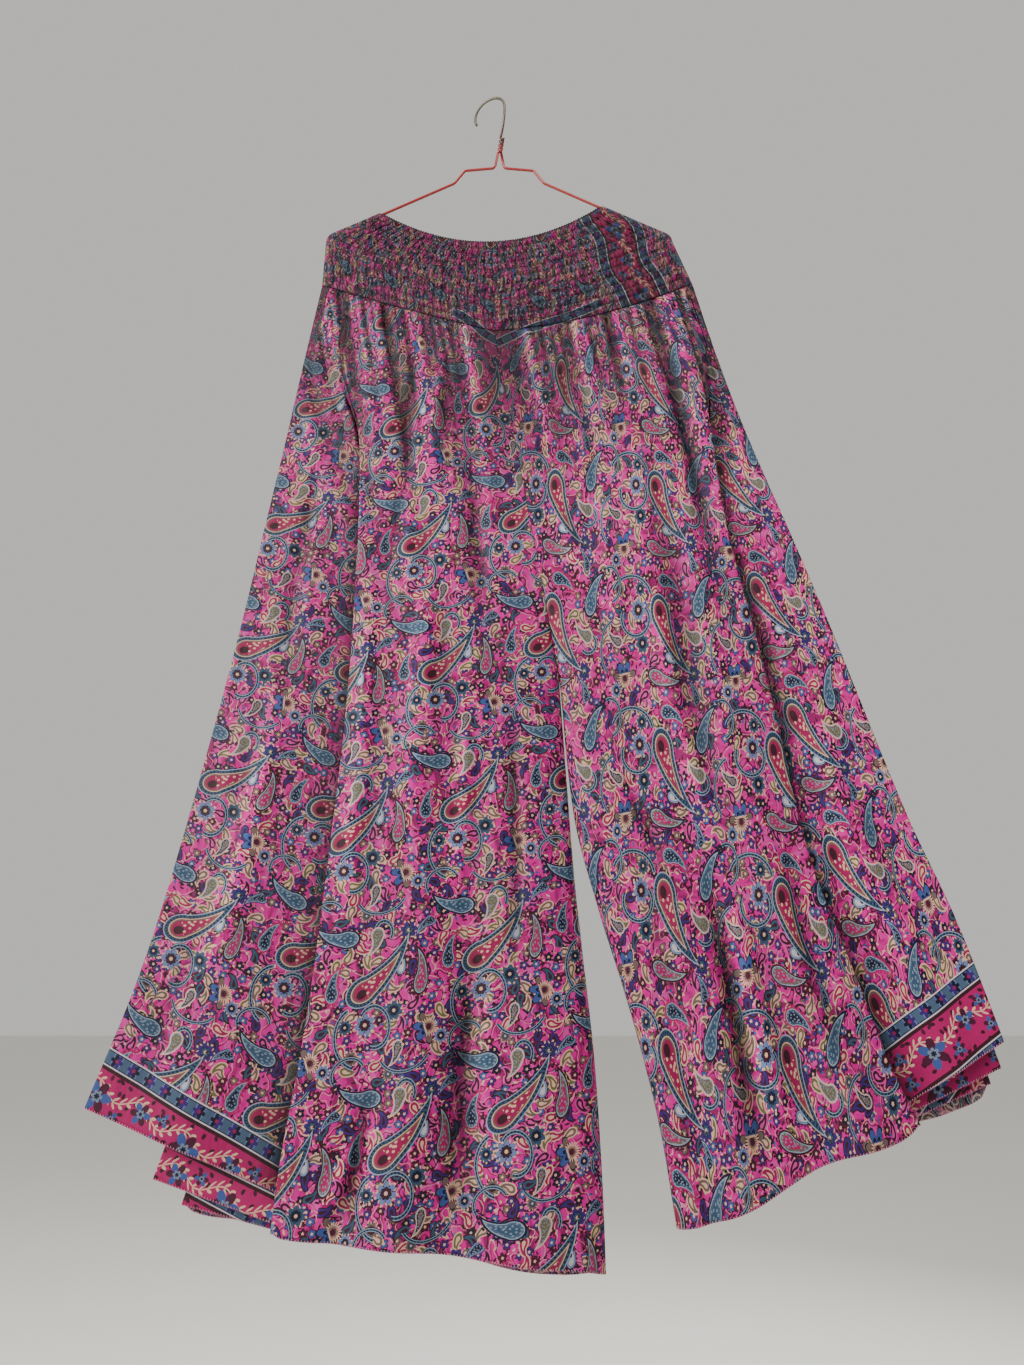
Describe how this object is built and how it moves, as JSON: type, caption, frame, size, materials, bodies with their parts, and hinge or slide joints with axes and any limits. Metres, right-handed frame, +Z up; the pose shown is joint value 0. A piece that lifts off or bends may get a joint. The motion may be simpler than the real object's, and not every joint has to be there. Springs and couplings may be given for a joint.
{
  "type": "wide-leg trousers on a wire hanger",
  "caption": "Wide-leg silk trousers in an all-over paisley print, with a shirred waistband hung over the arms of a coated wire hanger.",
  "frame": {"origin": "the inside top of the hanger's hook, where it sits on a rail", "axes": "+Z up, +X to the right seen from the front (towards the wearer's left leg), +Y to the back"},
  "size_m": [0.8364, 0.0641, 1.2871],
  "materials": {
    "coated_wire": "red plastic coating on steel wire, bare grey steel on the hook",
    "shirred_silk": "printed silk gathered on rows of elastic thread",
    "printed_silk": "printed silk, soft sheen"
  },
  "bodies": {
    "root": {"hanger": "coated_wire", "waistband_front": "shirred_silk", "waistband_back": "shirred_silk", "right_leg_front": "printed_silk", "right_leg_back": "printed_silk", "left_leg_front": "printed_silk", "left_leg_back": "printed_silk"}
  },
  "joints": []
}
